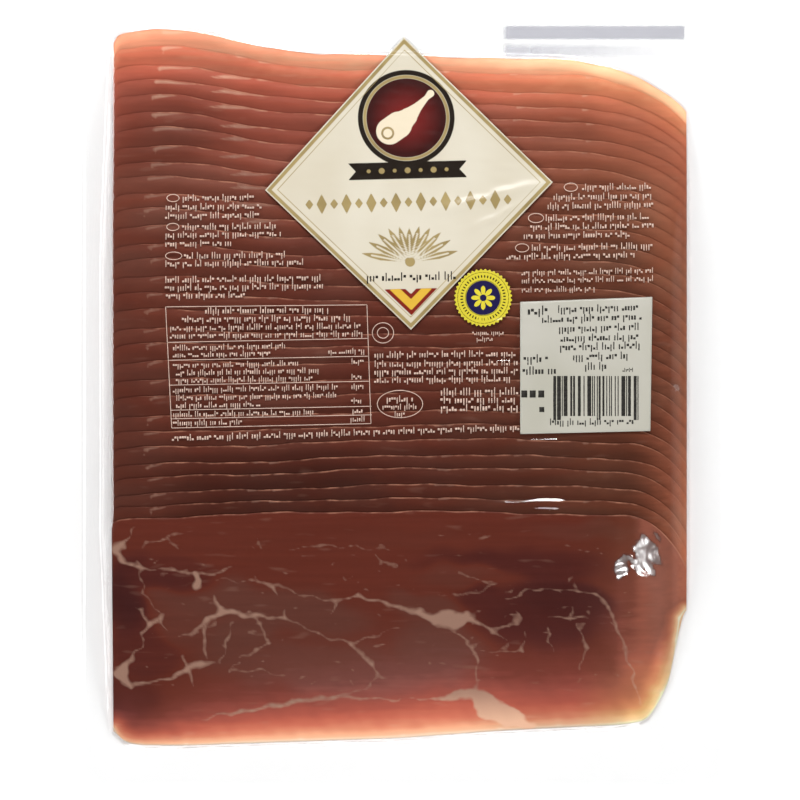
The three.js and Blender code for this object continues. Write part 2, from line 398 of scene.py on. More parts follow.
def rampNode(tree, value, stops):
    # Colour ramp with a stop at each (position, colour), in rising order.
    node = tree.nodes.new("ShaderNodeValToRGB")
    tree.links.new(value, node.inputs["Fac"])
    elements = node.color_ramp.elements
    elements[0].position, elements[0].color = stops[0]
    elements[1].position, elements[1].color = stops[-1]
    for position, color in stops[1:-1]:
        elements.new(position).color = color
    return node.outputs["Color"]


def mixColor(tree, factor, first, second, blend="MIX"):
    # From first, at factor 0, to second, or to the product of both where blend is MULTIPLY.
    node = tree.nodes.new("ShaderNodeMix")
    node.data_type, node.blend_type = "RGBA", blend
    firstSocket, secondSocket = [socket for socket in node.inputs if socket.type == "RGBA"]
    for socket, value in ((node.inputs[0], factor), (firstSocket, first), (secondSocket, second)):
        if isinstance(value, (int, float, tuple)):
            socket.default_value = value
        else:
            tree.links.new(value, socket)
    return next(socket for socket in node.outputs if socket.type == "RGBA")


def bumpNode(tree, height, strength, distance):
    # Normal tilted by the slope of a height.
    node = tree.nodes.new("ShaderNodeBump")
    node.inputs["Strength"].default_value = strength
    node.inputs["Distance"].default_value = distance
    tree.links.new(height, node.inputs["Height"])
    return node.outputs["Normal"]


def finishSurface(tree, output, color, roughness, specular):
    # One Principled shader, with its colour from a node and its roughness a number or from a node.
    principled = tree.nodes.new("ShaderNodeBsdfPrincipled")
    tree.links.new(color, principled.inputs["Base Color"])
    principled.inputs["Specular IOR Level"].default_value = specular
    if isinstance(roughness, float):
        principled.inputs["Roughness"].default_value = roughness
    else:
        tree.links.new(roughness, principled.inputs["Roughness"])
    tree.links.new(principled.outputs[0], output.inputs["Surface"])


hamLook = {  # three numbers are a colour in sRGB, four are factors on linear light
    "deepest": 18.0, "roughness": 0.42, "specular": 0.06,
    "fat": (150, 116, 100), "thinFat": (232, 184, 154), "edge": (196, 138, 112),
    "lowGold": (1.06, 1.38, 1.08, 1), "lowFrom": -0.12, "lowTo": -0.1,
    "broad": 45, "broadShare": 0.36, "fine": 420, "fineShare": 0.17, "streaks": 520, "streakShare": 0.45,
    "muscleColors": [
        (0.0, (0.36, 0.42, 0.66, 1)), (0.25, (0.64, 0.66, 0.86, 1)), (0.5, (1, 1, 1, 1)),
        (1.0, (0.96, 1.62, 1.95, 1))],
}
frontLook = {  # layers of ham under a point, and the colour that the light through them gives
    "streakiness": 0.06, "fleckShare": 0.16,
    "amber": (1.0, 1.3, 1.16, 1), "amberFrom": 0.067, "amberTo": 0.095, "amberThin": 0.45,
    "depthColors": [
        (0.3, (252, 230, 204)), (0.8, (249, 192, 154)), (1.3, (246, 176, 138)), (2.0, (226, 142, 110)),
        (3.0, (206, 114, 90)), (4.0, (188, 97, 78)), (5.0, (168, 85, 70)), (7.0, (140, 71, 60)),
        (9.5, (114, 56, 46)), (13.0, (100, 47, 36)), (18.0, (92, 41, 30))],
}
stackedLook = {
    "streakiness": 0.13, "fleckShare": 0.1,
    "amber": (1.0, 1.25, 1.1, 1), "amberFrom": 0.0, "amberTo": 0.09, "amberThin": 0.25,
    "depthColors": [
        (0.6, (254, 222, 178)), (1.3, (244, 160, 124)), (2.3, (205, 111, 84)), (3.3, (186, 94, 73)),
        (4.3, (166, 84, 66)), (6.0, (146, 74, 58)), (8.0, (128, 66, 51)), (11.0, (112, 58, 44)),
        (16.0, (92, 44, 33))],
}


def hamMaterial(name, look):
    # Colour by the depth of ham below, painted as the glow of light shining through that many layers,
    # times muscle tone, painted shade on the slices' steps and long streaks, with fat over it and a pale
    # edge line that is partly a painted highlight. Towards the slices' right end it turns yellower, most of
    # all at the lowest part.
    material, tree, output = newMaterial(name)
    depth, rim = attributeNode(tree, "depth"), attributeNode(tree, "rim")
    fat, shade = attributeNode(tree, "fat"), attributeNode(tree, "shade")
    tone = attributeNode(tree, "tone")
    broad = objectNoise(tree, hamLook["broad"], 2.0, (0.5, 1, 1))
    fine = objectNoise(tree, hamLook["fine"], 2.0, (0.45, 1, 1))
    streaks = objectNoise(tree, hamLook["streaks"], 2.0, (0.06, 1, 1))
    mottling = wavering(tree, broad, hamLook["broadShare"], 1.0)
    mottling = wavering(tree, fine, hamLook["fineShare"], mottling)
    mottling = wavering(tree, streaks, hamLook["streakShare"], mottling)
    # Painted glow: the colour of light shining through the ham below, pale where few layers lie under a point
    # and dark where many do.
    seen = mathNode(tree, "DIVIDE", product(tree, depth, mottling), hamLook["deepest"])
    stops = [(layers / hamLook["deepest"], linear(*color)) for layers, color in look["depthColors"]]
    base = rampNode(tree, seen, stops)
    muscle = rampNode(tree, rangeNode(tree, tone, -1, 1, 0, 1), hamLook["muscleColors"])
    base = mixColor(tree, rangeNode(tree, depth, 2.5, 9, 0.25, 1), base, muscle, "MULTIPLY")
    x, y = objectAxes(tree)
    rightness = product(tree, rangeNode(tree, x, look["amberFrom"], look["amberTo"], 0, 1),
                        rangeNode(tree, depth, 0.8, 2.2, look["amberThin"], 1))
    base = mixColor(tree, rightness, base, look["amber"], "MULTIPLY")
    lowness = rangeNode(tree, y, hamLook["lowFrom"], hamLook["lowTo"], 1, 0)
    base = mixColor(tree, product(tree, rightness, lowness), base, hamLook["lowGold"], "MULTIPLY")
    streakShade = rangeNode(tree, streaks, 0.3, 0.7, 1 - look["streakiness"], 1 + look["streakiness"])
    light = tree.nodes.new("ShaderNodeCombineColor")
    for channel in light.inputs:
        tree.links.new(product(tree, shade, streakShade), channel)
    base = mixColor(tree, 1.0, base, light.outputs[0], "MULTIPLY")
    # Fat is painted lighter where little ham lies under it, as light shining through it would make it.
    fatColor = mixColor(tree, rangeNode(tree, depth, 1.5, 7, 0, 1),
                        linear(*hamLook["thinFat"]), linear(*hamLook["fat"]))
    flecks = objectNoise(tree, 340, 1.0, (0.24, 1, 1))
    base = mixColor(tree, rangeNode(tree, flecks, 0.66, 0.8, 0, look["fleckShare"]), base, fatColor)
    ragged = wavering(tree, fine, 0.4, fat)
    base = mixColor(tree, rangeNode(tree, ragged, -0.8, 0.3, 0.94, 0), base, fatColor)
    # Pale line along each slice's upper edge: partly the cut edge's own paler colour, partly a painted
    # highlight where the edge catches the light.
    lineNoise = objectNoise(tree, 160, 2.0, (1, 0.2, 1))
    line = product(tree, rangeNode(tree, rim, 0.1, 0.7, 1, 0),
                   rangeNode(tree, lineNoise, 0.42, 0.66, 0.06, 0.62))
    base = mixColor(tree, line, base, linear(*hamLook["edge"]))
    roughness = rangeNode(tree, fine, 0.3, 0.7, hamLook["roughness"] - 0.08, hamLook["roughness"] + 0.1)
    finishSurface(tree, output, base, roughness, hamLook["specular"])
    return material


filmLook = {
    "gloss": 0.035, "rough": 0.06, "grazing": 0.9, "milkyGloss": 0.5, "milkyRough": 0.36,
    "band": (172, 172, 180), "bandRough": 0.4,
}
bands = {  # grey bands in the margin: left end and sides in pixels, lengths in mm, softness in metres
    "left": 505, "wide": (24, 37), "wideLength": 70, "wideShare": 0.7, "wideSoft": 0.0005,
    "thin": (43, 55), "thinLength": 74, "thinShare": 0.5, "thinSoft": 0.0011,
}


def bandMask(tree, y, low, high, soft):
    # 1 between low and high in metres, with soft sides.
    return product(tree, rangeNode(tree, y, low - soft, low + soft, 0, 1),
                   rangeNode(tree, y, high - soft, high + soft, 1, 0))


def bandShare(tree):
    # Share of grey: the wide band ends sharply on the right, and the thin one below it fades out.
    x, y = objectAxes(tree)
    left, (wideTop, wideBottom) = onPack(bands["left"], bands["wide"])
    _, (thinTop, thinBottom) = onPack(bands["left"], bands["thin"])
    wide = product(tree, bandMask(tree, y, wideBottom * mm, wideTop * mm, bands["wideSoft"]),
                   rangeNode(tree, x, (left - 1) * mm, (left + 1.5) * mm, 0, bands["wideShare"]))
    wideEnd = left + bands["wideLength"]
    wide = product(tree, wide, rangeNode(tree, x, wideEnd * mm, (wideEnd + 1) * mm, 1, 0))
    fade = rangeNode(tree, x, (left - 1) * mm, (left + bands["thinLength"]) * mm, bands["thinShare"], 0)
    thin = product(tree, bandMask(tree, y, thinBottom * mm, thinTop * mm, bands["thinSoft"]), fade)
    thin = product(tree, thin, rangeNode(tree, x, (left - 1) * mm, (left + 1) * mm, 0, 1))
    return mathNode(tree, "MAXIMUM", wide, thin)


def filmMaterial(name, printed):
    # Clear film: what lies behind, and a mirror share that grows as (1 - cos)^5. The printed upper
    # film also has milky bubbles and grey bands.
    material, tree, output = newMaterial(name)
    clear = tree.nodes.new("ShaderNodeBsdfTransparent")
    gloss = tree.nodes.new("ShaderNodeBsdfPrincipled")
    gloss.inputs["Base Color"].default_value = (1, 1, 1, 1)
    gloss.inputs["Metallic"].default_value = 1
    gloss.inputs["Roughness"].default_value = filmLook["rough"]
    wrinkle = objectNoise(tree, 130, 1.5, (0.35, 1, 1))
    tree.links.new(bumpNode(tree, wrinkle, 0.3, 0.0004), gloss.inputs["Normal"])
    facing = tree.nodes.new("ShaderNodeLayerWeight")
    facing.inputs["Blend"].default_value = 0.5
    grazing = mathNode(tree, "POWER", facing.outputs["Facing"], 5.0)
    share = mathNode(tree, "ADD", product(tree, grazing, filmLook["grazing"]), filmLook["gloss"])
    mirror = tree.nodes.new("ShaderNodeMixShader")
    tree.links.new(share, mirror.inputs["Fac"])
    tree.links.new(clear.outputs[0], mirror.inputs[1])
    tree.links.new(gloss.outputs[0], mirror.inputs[2])
    surface = mirror
    if printed:
        milky = attributeNode(tree, "milky")
        milkyShare = mathNode(tree, "MULTIPLY_ADD", milky, filmLook["milkyGloss"], share)
        milkyRough = mathNode(tree, "MULTIPLY_ADD", milky, filmLook["milkyRough"], filmLook["rough"])
        tree.links.new(milkyShare, mirror.inputs["Fac"])
        tree.links.new(milkyRough, gloss.inputs["Roughness"])
        grey = tree.nodes.new("ShaderNodeBsdfPrincipled")
        grey.inputs["Base Color"].default_value = linear(*filmLook["band"])
        grey.inputs["Roughness"].default_value = filmLook["bandRough"]
        surface = tree.nodes.new("ShaderNodeMixShader")
        tree.links.new(bandShare(tree), surface.inputs["Fac"])
        tree.links.new(mirror.outputs[0], surface.inputs[1])
        tree.links.new(grey.outputs[0], surface.inputs[2])
    tree.links.new(surface.outputs[0], output.inputs["Surface"])
    return material


# Slices

marblingSeams = [  # fat seams on the front slice: x, y and width in mm along each
    [(-104.6, -50, 0.5), (-108.8, -56, 1.6), (-112.6, -58.6, 3.4), (-109.4, -62.4, 2.0),
     (-103.4, -65.4, 1.6), (-96.7, -66.5, 0.9)],
    [(-102, -66, 1), (-102, -69.6, 0.6), (-101, -75.3, 0.5), (-94, -85, 0.5)],
    [(-96.7, -66.4, 0.7), (-90, -66, 1.6), (-84.3, -67.6, 0.9), (-80.7, -68.3, 1.4), (-74.3, -67.5, 1),
     (-70, -67, 1.1), (-66.8, -65, 0.6)],
    [(-80.6, -68.3, 3.1), (-80.3, -73, 4.1)],
    [(-102.4, -58, 0.5), (-94, -54, 1.1), (-88.5, -52, 0.6), (-80.7, -51.4, 0.4)],
    [(-73, -70.3, 0.4), (-59.4, -70.7, 0.5), (-48.7, -72, 0.6), (-38, -76.7, 0.6), (-26.3, -78.5, 0.9),
     (-17.4, -76.3, 1.6), (-1, -81.5, 1.4)],
    [(-53.7, -71, 1.1), (-50.8, -73, 1.3), (-49.3, -76.3, 0.7)],
    [(-25.6, -80.3, 1), (-28.4, -83.5, 0.6)],
    [(-74, -77, 1.1), (-71, -82.4, 2.8), (-63, -83.5, 2), (-58, -84.2, 2.1), (-51.5, -85, 1.1),
     (-45.8, -85.2, 1.6), (-45.5, -81.7, 0.5)],
    [(-71, -82.7, 2.8), (-76.4, -86, 2.1), (-82, -90.6, 1.1), (-86.7, -93, 0.5)],
    [(-76.8, -88, 1.4), (-78, -94.5, 1.6), (-76.8, -101, 0.9)],
    [(-66.5, -87.4, 0.6), (-68.5, -93.8, 1), (-71.5, -103, 0.6)],
    [(-58, -85.2, 0.7), (-52, -95.2, 1.1), (-57.2, -97.3, 0.9), (-64.3, -101, 0.5)],
    [(-73, -103, 0.9), (-80, -103.4, 2.4), (-85.7, -106.2, 2.4), (-96.3, -110.2, 1.1),
     (-106.6, -112.2, 1.7), (-110.8, -107.2, 5.2), (-106.4, -102, 1.3), (-101.3, -93.8, 0.9),
     (-101.3, -90.6, 1), (-98.8, -87.4, 2.6), (-95, -85.6, 1.3), (-91.7, -89.5, 0.6)],
    [(-100, -85.6, 1.3), (-102, -81.7, 0.9), (-104.5, -80.6, 0.6)],
    [(-85.7, -99.5, 0.9), (-84.6, -105.2, 1.8), (-81.8, -111.6, 0.9)],
    [(-44.4, -86, 0.7), (-32.3, -91.6, 0.6), (-20.2, -95.2, 1), (-11.7, -92, 0.6), (-1.2, -89.2, 0.6)],
    [(-20.2, -95.2, 0.9), (-12, -103.4, 1.6), (-9.6, -107.3, 0.6), (-13, -111.6, 0.6), (-27.3, -117, 0.6)],
    [(-78.6, -124.7, 0.7), (-63, -122.2, 1.7), (-44.4, -118.3, 2.1), (-27.3, -116.5, 1.4),
     (-1.2, -118, 0.9)],
    [(-64.3, -103, 0.5), (-68, -106, 0.6), (-55.8, -106, 0.5), (-46.6, -108, 0.4)],
    [(-44.4, -58.2, 0.4), (-32.3, -56.4, 0.9), (-21, -57, 0.4), (-6, -58.3, 0.4)],
    [(-11, -60.3, 0.6), (-9, -63.5, 0.7), (-1.7, -64.3, 0.4)],
    [(-1.2, -81.3, 1), (7, -83.4, 2.5), (14.5, -85.8, 5.4), (20.5, -86, 6.9), (25, -84.8, 3.4),
     (30.2, -87.3, 1.3), (34.6, -89.8, 1.2), (40.6, -88.3, 0.9), (45, -86.3, 0.8), (44, -82.3, 0.6)],
    [(34.6, -89.8, 0.9), (40.6, -94.3, 0.6)],
    [(19.7, -90.5, 1), (27.2, -96, 1.1), (29.2, -102, 0.9), (28.7, -112.3, 0.9)],
    [(-1.2, -116.8, 0.7), (12, -117, 1.4), (20, -116, 3.2), (27.4, -113.8, 4.2), (31.8, -119.2, 9),
     (41, -124.4, 8.4), (50, -127.8, 4.6)],
    [(40.6, -77.5, 0.8), (53.3, -74, 1.0), (67.5, -74.5, 1.1), (75, -76, 1.1), (80, -80.5, 1.1),
     (84, -89, 1.1), (88.4, -103, 1.1), (91, -112, 0.9), (93, -119, 0.6)],
    [(57, -84.8, 0.7), (65.6, -85.2, 1.6), (72.3, -85, 0.7)],
    [(66.4, -80.4, 0.6), (65.6, -86, 1.2)],
    [(56, -88, 0.8), (57.4, -92, 0.6), (56.6, -94, 0.9), (59, -98.4, 0.6)],
    [(68.6, -88.7, 0.8), (71.6, -97.6, 0.9), (69.3, -105, 0.7)],
    [(47.7, -91, 0.6), (46.6, -97.6, 0.8), (30.2, -98, 0.6)],
    [(21.6, -67, 0.7), (32.4, -70.4, 0.6), (36, -72.2, 0.7), (26.4, -76, 0.4)],
]
# Muscles of the front slice: middle and half sizes in pixels, turn in degrees, and a tone that runs
# from -1, dark purple, over 0, red-brown, to 1, greyish brown
muscles = [
    (172, 614, 46, 32, 8, 0.5), (515, 566, 92, 17, 2, -0.5), (136, 642, 26, 28, 0, -0.4),
    (128, 592, 24, 36, 10, -0.9), (152, 662, 30, 16, -8, -0.35), (228, 600, 74, 20, 8, 0.75),
    (170, 577, 46, 13, 6, -0.5), (243, 640, 40, 24, -20, 0.85), (312, 614, 58, 20, 10, 0.75),
    (330, 668, 120, 26, 4, 0.6), (120, 700, 34, 24, -6, -0.35), (440, 640, 42, 34, 10, 0.75),
    (470, 578, 52, 12, 6, 0.35), (540, 616, 68, 32, 6, -0.6), (566, 598, 46, 16, 8, -0.75),
    (482, 598, 26, 12, 8, -0.5), (400, 540, 60, 9, -3, 0.1), (420, 606, 34, 11, 8, 0.6),
    (575, 530, 50, 9, 0, 0.35), (180, 566, 45, 8, 5, -0.25), (672, 600, 26, 62, -6, 0.3),
]
wisps = {"count": 120, "length": (1.2, 5.5), "turn": 24, "width": (0.0, 0.4), "seed": 31}  # mm and degrees
slices = {  # in mm; rows are the grid lines of a shingled slice, counted down from its edge
    "step": 0.7, "shingleStep": 1.4, "below": 0.35, "gap": 0.05, "ragged": 0.3, "uneven": 0.45,
    "rows": (0, 0.22, 0.5, 0.9, 1.5, 2.3, 3.3, 4.6, 6.2, 8.5, 14, 28, 50, 74),
    "wave": 0.1, "feather": 0.52, "rounding": 2.6, "pitch": 5.7,
}
# Darker and lighter places of the stack: where each begins, is full, ends being full and ends, in mm
shadePatches = [
    {"x": (-104, -72, 70, 86), "y": (92, 106, 300, 400), "gain": -0.28},
    {"x": (-104, -72, 70, 86), "y": (116, 130, 300, 400), "gain": 0.15},
    {"x": (5, 40, 74, 90), "y": (108, 120, 300, 400), "gain": 0.3},
    {"x": (-122, -102, -95, -62), "y": (78, 100, 118, 132), "gain": -0.33},
    {"x": (-105, -75, -30, 10), "y": (-400, -300, -28, -13), "gain": -0.28},
    {"x": (-400, -300, 45, 70), "y": (-400, -300, -28, -13), "gain": -0.12},
    {"x": (88, 110, 300, 400), "y": (-400, -300, -45, 15), "gain": 0.7},
]


def muscleTone(x, y):
    # Every muscle's tone times a soft-edged ellipse: nearly 1 inside, 0.5 on its outline, 0 outside.
    u, v = fromPack(x, y)
    u, v = u + 6 * softNoise(x, y, 24, 81), v + 4 * softNoise(x, y, 22, 82)
    tone = np.zeros_like(x)
    for cu, cv, ru, rv, turn, value in muscles:
        c, s = np.cos(np.radians(turn)), np.sin(np.radians(turn))
        reach = np.hypot(((u - cu) * c + (v - cv) * s) / ru, ((v - cv) * c - (u - cu) * s) / rv)
        weight = 1 / (1 + np.exp(7 * (reach - 1)))
        tone = tone * (1 - weight) + value * weight
    return tone


def seamDistance(x, y, seams, soften=0.1):
    # Signed distance to a set of tapering strokes: to the nearest point of each stretch, less half
    # of the width there. The stretches melt together by -s log(sum of exp(-d / s)), as webs of fat do.
    melted = np.zeros(x.shape)
    for seam in seams:
        for (x0, y0, w0), (x1, y1, w1) in zip(seam[:-1], seam[1:]):
            dx, dy = x1 - x0, y1 - y0
            along = np.clip(((x - x0) * dx + (y - y0) * dy) / (dx * dx + dy * dy), 0, 1)
            distance = np.hypot(x - x0 - along * dx, y - y0 - along * dy) - (w0 + (w1 - w0) * along) / 2
            melted += np.exp(-np.clip(distance / soften, -200, 200))
    return -soften * np.log(melted)


def scatteredWisps():
    # Short hair-thin seams over the front slice, at seeded places, each from one point to another.
    rng = np.random.default_rng(wisps["seed"])
    starts = rng.uniform([-104, -112], [92, -52], (wisps["count"], 2))
    lengths = rng.uniform(*wisps["length"], wisps["count"])
    turns = np.radians(rng.normal(0, wisps["turn"], wisps["count"]))
    widths = rng.uniform(*wisps["width"], wisps["count"])
    ends = starts + np.column_stack([lengths * np.cos(turns), lengths * np.sin(turns)])
    return [[(*start, 0.0), (*(start + end) / 2, width), (*end, 0.0)]
            for start, end, width in zip(starts, ends, widths)]


def raggedEdge(k, x):
    # Small wander of a slice's cut edge: an offset of its own, and three sines whose phases drift
    # from slice to slice.
    offset = slices["uneven"] * (np.sin(2.4 * k + 1) + 0.6 * np.sin(5.1 * k)) * (0 < k < lastSlice)
    waves = np.sin(x / 11 + 0.9 * k) + 0.6 * np.sin(x / 4.3 + 2.3 * k) + 0.25 * np.sin(x / 1.9 + 4.7 * k)
    return offset + slices["ragged"] * waves


def sliceColumns(step):
    # Columns across a slice, closing up towards the rounded right end as a sine does.
    bend = stack["cornerEnd"] - stack["cornerWidth"][1]
    straight = np.arange(stack["left"], bend, step)
    turns = int((stack["sliceRight"] - bend) / step * 1.5)
    corner = bend + (stack["sliceRight"] - bend) * np.sin(np.linspace(0, np.pi / 2, turns + 1))
    return np.concatenate([straight, corner])


def shingleFlecks(k, x, rim):
    # Signed distance to the pale flecks that each shingled slice shows near its edge: a wedge and a
    # slanted seam on the left, and short strokes where other seams meet the edge.
    leftSeam = -98.6 + 1.2 * np.sin(k * 0.9) + 4.5 * smoothStep(19, 30, k)
    wedge = 0.5 + 0.5 * smoothStep(17, 24, k)
    reach = leftSeam + 5 + (6 + 4 * np.sin(1.9 * k)) * smoothStep(17, 26, k)
    strokes = [[(leftSeam - 1, 1.2, 1.5 * wedge), (reach, 0.5, 0.3)]]
    if k % 3:
        strokes.append([(leftSeam + 1.2, 0.3, 0.8), (leftSeam - 1.2, 2.2 + 1.3 * (k % 2), 0.4)])
    diagonal = -77 + 1.3 * (28 - k) + 1.8 * np.sin(2.1 * k)
    if 18 < k < 29:
        far = diagonal + 15 + 4 * np.sin(k)
        strokes.append([(diagonal, 2.6, 0.4), (diagonal + 6, 1.3, 1.4), (far, 0.25, 0.3)])
    for place, long in ((-61.5, 3.5), (-53.5, 4), (13.5, 4.5), (17, 2), (43.5, 3), (71, 2.5)):
        here = place + 1.3 * np.sin(k * 1.7 + place) + (0.25 * (12 - k) if place < 0 else 0)
        strokes.append([(here, 0.45, 0.7), (here + long, 0.2, 0.25)])
    return seamDistance(x, rim, strokes)


def crispness(k, x):
    # How clearly a slice's step shows: fully in the middle and all along the front and the hindmost
    # slice, and less towards both ends, from further in on the right of the hind slices.
    rightFade = 0.4 + 0.4 * smoothStep(12, 24, k)
    fadeStart = 86 - 40 * smoothStep(22, 28, k)
    middle = smoothStep(-113, -88, x) * (1 - rightFade * smoothStep(fadeStart, 106, x))
    return np.where(0 < k < lastSlice, 0.2 + 0.8 * middle, 1)


def frontDepth(x, y, sill):
    # Layers seen through the front slice: growing with the distance from its lower edge (sill), and
    # held back near the right end.
    deepening = 0.36 + 0.75 * np.exp(-(x - stack["left"]) / 28)
    deepening += smoothStep(84, 95, x) * (0.6 * smoothStep(-106, -86, y) + 0.13)
    deepening += 0.06 * smoothStep(20, 50, x) * (1 - smoothStep(82, 92, x))
    depth = 0.3 + deepening * (sill + 0.4 * softNoise(x, y, 9, 87) * smoothStep(0.5, 4, sill))
    endDepth = 7.5 - 3 * smoothStep(98, 111, x) - 2 * (1 - smoothStep(-106, -90, y))
    return depth + (np.minimum(depth, endDepth) - depth) * smoothStep(80, 94, x)


def frontShade(x, sill):
    # Darker along the lower edge, at the left end, right of the middle and at the right end.
    shade = 1 - 0.3 * np.exp(-(x - stack["left"]) / 22) * (1 - smoothStep(4, 16, sill))
    shade *= 1 - 0.26 * windowed(x, (15, 55, 83, 92)) * (1 - smoothStep(3, 16, sill))
    shade *= 1 - 0.15 * smoothStep(88, 95, x) * (1 - smoothStep(3, 7, sill))
    return shade * (1 - 0.26 * smoothStep(99, 105, x))


def frontFat(x, y):
    # Distance to the drawn and the scattered seams, at a place that wanders a little.
    wanderX = 0.8 * softNoise(x, y, 8, 83) + 0.14 * softNoise(x, y, 3, 84)
    wanderY = 0.8 * softNoise(x, y, 8, 85) + 0.14 * softNoise(x, y, 3, 86)
    fat = seamDistance(x + wanderX, y + wanderY, marblingSeams + scatteredWisps(), 0.45)
    return fat + 0.14 + 0.12 * softNoise(x, y, 3.1, 88)


def stackedDepth(k, x, y, rim, layers):
    # Layers seen through a shingled slice: those under it, more towards the right end, but never more
    # than lie behind it, and slightly fewer along the right of the hindmost slice's edge.
    filled = layers + 6 * smoothStep(78, 104, x) * smoothStep(-84, -60, y)
    behind = np.minimum(filled, np.maximum(layers, lastSlice - k + 1))
    if k == lastSlice:
        behind = behind - 0.22 * smoothStep(-10, 60, x) * (1 - smoothStep(3.2, 5, rim))
    return behind + 0.3


def stackedShade(x, y, rim, depth, crisp):
    # Light edge and dark foot on each step, a dark belt below the middle, a lighter right end over
    # deep ham, and the patches.
    shade = 0.9 + crisp * (0.24 - 0.42 * smoothStep(0.4, 5.6, rim)) - 0.08 * (1 - crisp)
    shade *= 1 - 0.2 * np.exp(-(((y + 30) / 42) ** 2))
    shade *= 1 + 0.6 * smoothStep(82, 106, x) * smoothStep(3, 12, depth)
    for patch in shadePatches:
        shade *= 1 + patch["gain"] * windowed(x, patch["x"]) * windowed(y, patch["y"])
    return shade


def sliceSurface(k):
    # Grid from a slice's upper edge down to its lower edge, even on the front slice and closer to the
    # edge on the others. Height is the stack's at that point, less a rounded rim, plus a slow wave.
    # Returns the plate and its attributes.
    step = slices["shingleStep"] if k else slices["step"]
    columns = sliceColumns(step)
    top = sliceTop(k, columns) + raggedEdge(k, columns)
    bottom = lowerEdge(columns) + k * slicePitch(columns) + (0.6 * np.sin(columns / 13 + k) if k else 0)
    top = np.maximum(top, bottom + 0.4)
    if k:
        depths = np.array(slices["rows"])[:, None]
        room = np.minimum(1, (top - bottom) / (slices["rows"][-1] + 8))
        y = np.vstack([top - depths * room, bottom[None, :]])
    else:
        share = np.linspace(0, 1, int(90 / step))[:, None]
        y = top - (top - bottom) * share
    x = np.broadcast_to(columns, y.shape).copy()
    slope = np.gradient(sliceTop(k, columns), columns)
    rim = (top - y) / np.sqrt(1 + slope ** 2)
    sides = np.minimum(rim, np.minimum(x - stack["left"] + 0.05, stack["sliceRight"] - x + 0.05))
    layers, crisp = layersUnder(k, x, y), crispness(k, x)
    height = stackHeight(k, x, y) - slices["below"] + slices["wave"] * softNoise(x, y, 24, 40)
    height -= slices["feather"] * (1 - smoothStep(0, slices["rounding"], rim)) * (0.4 + 0.6 * crisp)
    thick = (stack["thickness"] - slices["gap"]) * (0.28 + 0.72 * smoothStep(0, slices["rounding"], sides))
    if k:
        depth = stackedDepth(k, x, y, rim, layers)
        depth += (1 - crisp) * (np.clip(rim / slices["pitch"], 0, 1) - 0.5)
        shade = stackedShade(x, y, rim, depth, crisp)
        fat, tone = shingleFlecks(k, x, rim), 0.3 * np.abs(softNoise(x * 0.4, y, 30, 71))
    else:
        sill = np.maximum(seamDistance(x, y, [[(*point, 0) for point in frontLowerEdge]], 0.5), 0)
        depth, shade = frontDepth(x, y, sill), frontShade(x, sill)
        fat, tone = frontFat(x, y), muscleTone(x, y)
    above = np.maximum(k - sliceAt(x, y), 0) + 1.3  # from below, the layers over the slice count
    attributes = {
        "depth": np.concatenate([depth.ravel(), above.ravel()]),
        "rim": twice(np.maximum(rim, 0) + 1.0 - crisp),
        "fat": twice(fat), "tone": twice(np.clip(tone, -1, 1)), "shade": twice(shade)}
    return plate(x, y, height, height - thick), attributes


frontHam = hamMaterial("frontHam", frontLook)
stackedHam = hamMaterial("stackedHam", stackedLook)
for k in range(stack["count"]):
    part, attributes = sliceSurface(k)
    makePiece(f"hamSlice{k + 1:02d}", [part], stackedHam if k else frontHam, attributes)
print("stage: slices made")


# Upper and lower film

def spaced(stretches):
    # Places along one axis: stretches of (from, to, step) put end to end.
    places = [stretches[0][:1]]
    for start, end, step in stretches:
        places.append(np.linspace(start, end, max(2, int(round((end - start) / step)) + 1))[1:])
    return np.concatenate(places)


def filmGrid(columns, rowStep):
    # Grid over the pack with rounded corners: given columns, even rows from high y to low y.
    rows = np.linspace(pack["halfY"], -pack["halfY"], int(2 * pack["halfY"] / rowStep) + 1)
    return roundedCorners(*np.meshgrid(columns, rows))


filmColumns = spaced([(-pack["halfX"], -122, 2), (-122, -111, 1.1), (-111, 79, 3.3), (79, 103, 1.0),
                      (103, 120, 1.3), (120, pack["halfX"], 2)])
filmX, filmY = filmGrid(filmColumns, film["rowStep"])
filmTop = filmHeight(filmX, filmY)
upperFilm = makePiece("upperFilm", [plate(filmX, filmY, filmTop, filmTop - pack["sheet"])],
                      filmMaterial("clearFilm", True),
                      {"milky": twice(blisterShine(filmX, filmY))})
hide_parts("sealed_pack")
lowerX, lowerY = filmGrid(np.linspace(-pack["halfX"], pack["halfX"], 85), film["backRowStep"])
flatTop = np.full_like(lowerX, pack["sheet"] + 0.01)
lowerFilm = makePiece("lowerFilm", [plate(lowerX, lowerY, flatTop, flatTop - pack["sheet"])],
                      filmMaterial("clearBackFilm", False))
for sheet in (upperFilm, lowerFilm):  # clear film casts no shadow and tints no light worth tracing
    sheet.visible_shadow = False
    sheet.visible_diffuse = False
print("stage: films made")


# Labels

